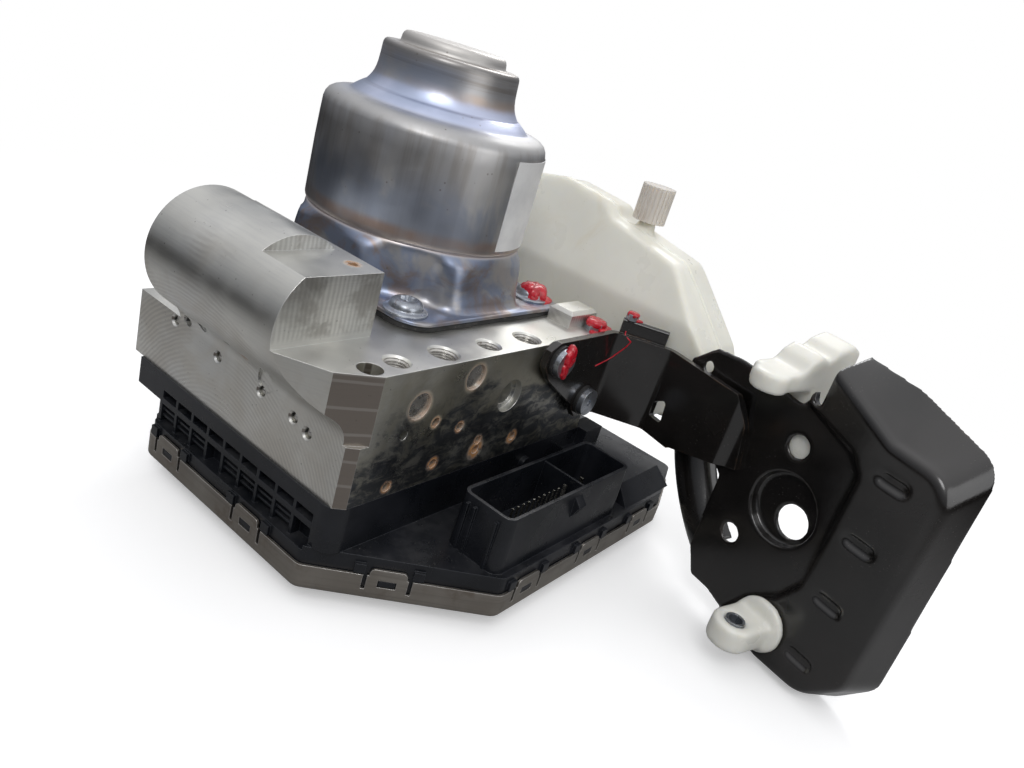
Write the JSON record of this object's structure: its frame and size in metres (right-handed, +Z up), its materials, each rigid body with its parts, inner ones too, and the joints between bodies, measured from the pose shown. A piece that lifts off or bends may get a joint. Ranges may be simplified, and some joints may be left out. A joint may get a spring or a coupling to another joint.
{
  "type": "brake control unit",
  "caption": "Electro-hydraulic brake unit: milled valve block, drawn motor can, ribbed black control housing, milky reservoir and black steel bracket with white eared spacer.",
  "frame": {"origin": "centre of the mouth of the master-cylinder bore in the lobe's rear face", "axes": "+X along the port face away from the lobe, +Y back along the bore towards the pedals, +Z up along the motor axis"},
  "size_m": [0.2215, 0.2918, 0.191],
  "materials": {
    "block_metal": "milled aluminium, satin, with rust stains in the drillings",
    "can_metal": "zinc-plated drawn steel with a blue and bronze tinge",
    "screw_metal": "zinc-plated, some with red paint",
    "ball_metal": "bare steel",
    "gasket_rubber": "matt black",
    "seal_rubber": "matt black",
    "housing_plastic": "black moulded plastic, dusty",
    "cover_metal": "satin sheet, warm grey",
    "pin_metal": "tinned contact metal",
    "board": "green board",
    "coil": "black wound coils",
    "bracket_paint": "semi-gloss black paint",
    "ear_plastic": "white, slightly yellowed",
    "tank_plastic": "milky, translucent",
    "cap_plastic": "beige",
    "drive_steel": "ground steel",
    "winding": "laminations and copper"
  },
  "bodies": {
    "unit": {"valve_block": "block_metal", "sealing_balls": "ball_metal", "port_plugs": "ball_metal", "retaining_ring": "drive_steel", "motor_can": "can_metal", "motor_gasket": "gasket_rubber", "motor_screws": "screw_metal", "motor_stator": "winding", "motor_bearing": "drive_steel", "valve_cartridges": "drive_steel", "solenoid_coils": "coil", "control_housing": "housing_plastic", "housing_cover": "cover_metal", "circuit_board": "board", "connector_pins": "pin_metal", "bracket_arm": "bracket_paint", "bush_rubbers": "gasket_rubber", "bush_screws": "screw_metal", "flange_bolt": "screw_metal", "deck_bolt": "screw_metal", "bracket_shield": "bracket_paint", "bracket_strut": "bracket_paint", "shield_spacer": "ear_plastic", "ear_sleeve": "screw_metal", "reservoir_front_half": "tank_plastic", "reservoir_rear_half": "tank_plastic", "reservoir_cap": "cap_plastic", "reservoir_grommets": "gasket_rubber"},
    "rotor": {"motor_rotor": "drive_steel"},
    "plunger": {"plunger": "drive_steel"},
    "primary": {"primary_piston": "drive_steel", "primary_seal": "seal_rubber"},
    "secondary": {"secondary_piston": "drive_steel", "secondary_seal": "seal_rubber"}
  },
  "joints": [
    {"name": "rotor_turn", "type": "hinge", "parent": "unit", "child": "rotor", "pos_m": [0.0823, -0.0234, 0.0451], "axis": [0, 0, 1], "range_deg": [0, 1080]},
    {"name": "plunger_stroke", "type": "slide", "parent": "unit", "child": "plunger", "axis": [0, 0, 1], "range_m": [-0.015, 0]},
    {"name": "primary_stroke", "type": "slide", "parent": "unit", "child": "primary", "axis": [0, -1, 0], "range_m": [0, 0.014]},
    {"name": "secondary_stroke", "type": "slide", "parent": "unit", "child": "secondary", "axis": [0, -1, 0], "range_m": [0, 0.008]}
  ],
  "couplings": [
    {"joint": "plunger_stroke", "follows": "rotor_turn", "m_per_rad": -0.00079577},
    {"joint": "secondary_stroke", "follows": "primary_stroke", "ratio": 0.571}
  ]
}
